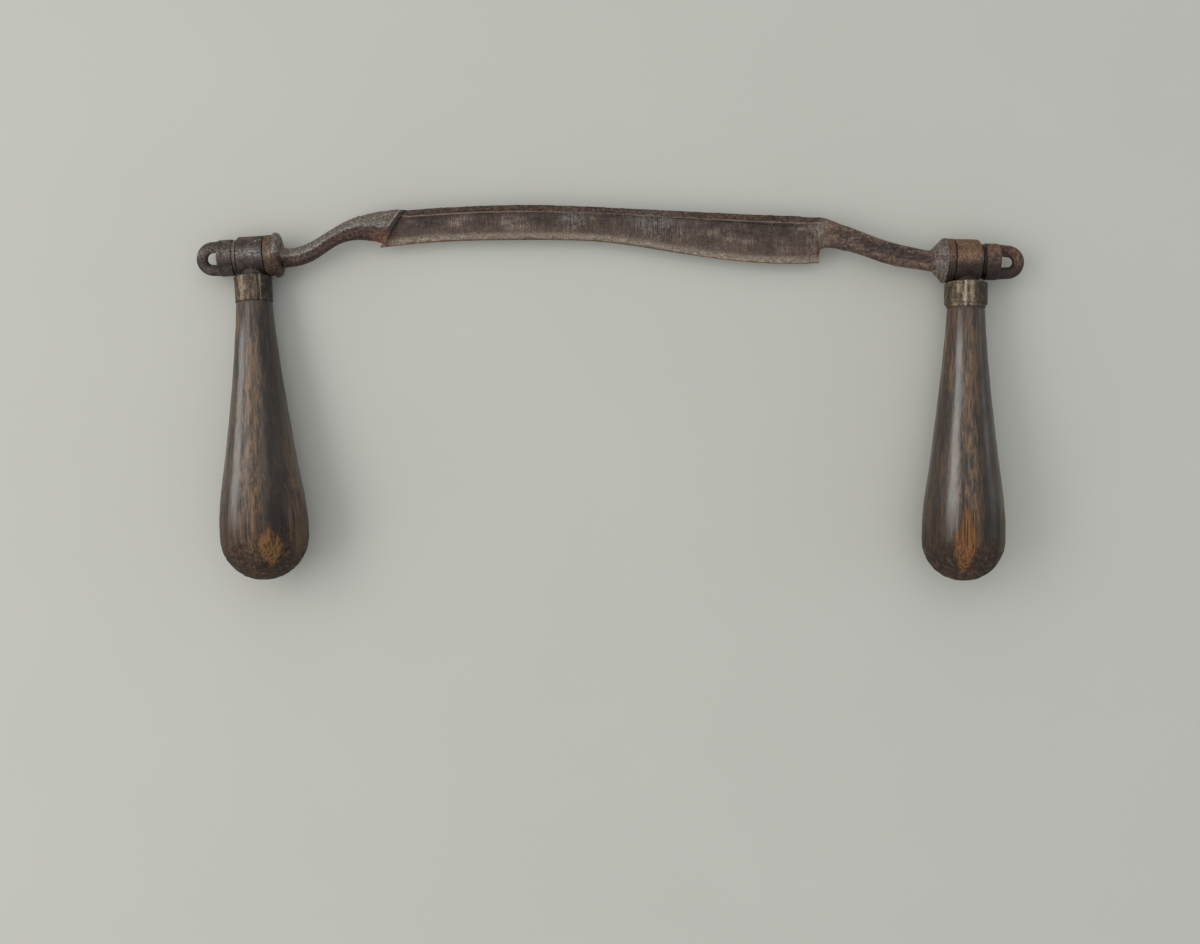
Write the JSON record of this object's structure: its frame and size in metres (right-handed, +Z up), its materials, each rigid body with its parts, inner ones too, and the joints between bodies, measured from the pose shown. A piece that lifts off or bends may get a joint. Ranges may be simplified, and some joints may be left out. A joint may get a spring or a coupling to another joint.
{
  "type": "drawknife",
  "caption": "Drawknife with a cranked bevelled blade and turned wooden handles that swivel on spindles and are locked by nuts with hanging eyes.",
  "frame": {"origin": "on the bench, under the middle of the knife's box, as it lies at rest on its collars and the butts of its handles", "axes": "+X from the left handle to the right one along the blade, +Y from the handles towards the blade's spine, +Z up from the bench, with the blade's flat back underneath"},
  "size_m": [0.3848, 0.1748, 0.0416],
  "materials": {
    "blade_steel": "forged carbon steel with a dark brown patina, a brighter honed bevel and rust at the shoulders",
    "ring_brass": "tarnished golden-brown brass",
    "hub_iron": "worn malleable iron with a brown rust film and grey rubbed places",
    "left_ferrule_metal": "dark worn iron with brassy-grey rubbed streaks",
    "right_ferrule_metal": "dark tarnished brass with a rubbed streak",
    "left_handle_wood": "dark, hand-polished hardwood, worn to bare grain at the butt",
    "right_handle_wood": "dark, hand-polished hardwood, worn to bare grain at the butt",
    "pin_steel": "dark iron wire, filed flush",
    "washer_steel": "dark, oily, rust-stained steel",
    "nut_iron": "rusty cast iron with a rubbed grey crown"
  },
  "bodies": {
    "blade": {"blade": "blade_steel", "left_seat_ring": "ring_brass", "right_seat_ring": "ring_brass"},
    "left_handle": {"left_hub": "hub_iron", "left_ferrule": "left_ferrule_metal", "left_handle": "left_handle_wood", "left_ferrule_pin": "pin_steel"},
    "left_thrust": {"left_thrust_washer": "washer_steel"},
    "left_nut": {"left_eye_nut": "nut_iron"},
    "right_handle": {"right_hub": "hub_iron", "right_ferrule": "right_ferrule_metal", "right_handle": "right_handle_wood", "right_ferrule_pin": "pin_steel"},
    "right_thrust": {"right_thrust_washer": "washer_steel"},
    "right_nut": {"right_eye_nut": "nut_iron"}
  },
  "joints": [
    {"name": "left_handle_swivel", "type": "hinge", "parent": "blade", "child": "left_handle", "pos_m": [-0.16646, 0.0633, 0.01035], "axis": [-0.998, -0.0628, 0], "continuous": true},
    {"name": "left_washer_slide", "type": "slide", "parent": "blade", "child": "left_thrust", "axis": [-0.998, -0.0628, 0], "range_m": [0, 0.00375]},
    {"name": "left_nut_turn", "type": "hinge", "parent": "left_thrust", "child": "left_nut", "pos_m": [-0.17425, 0.06281, 0.01035], "axis": [-0.998, -0.0628, 0], "range_deg": [0, 1080]},
    {"name": "right_handle_swivel", "type": "hinge", "parent": "blade", "child": "right_handle", "pos_m": [0.16544, 0.0612, 0.01035], "axis": [0.9996, -0.0279, 0], "continuous": true},
    {"name": "right_washer_slide", "type": "slide", "parent": "blade", "child": "right_thrust", "axis": [0.9996, -0.0279, 0], "range_m": [0, 0.00375]},
    {"name": "right_nut_turn", "type": "hinge", "parent": "right_thrust", "child": "right_nut", "pos_m": [0.17323, 0.06098, 0.01035], "axis": [0.9996, -0.0279, 0], "range_deg": [0, 1080]}
  ],
  "couplings": [
    {"joint": "left_washer_slide", "follows": "left_nut_turn", "m_per_rad": 0.00019894},
    {"joint": "right_washer_slide", "follows": "right_nut_turn", "m_per_rad": 0.00019894}
  ]
}
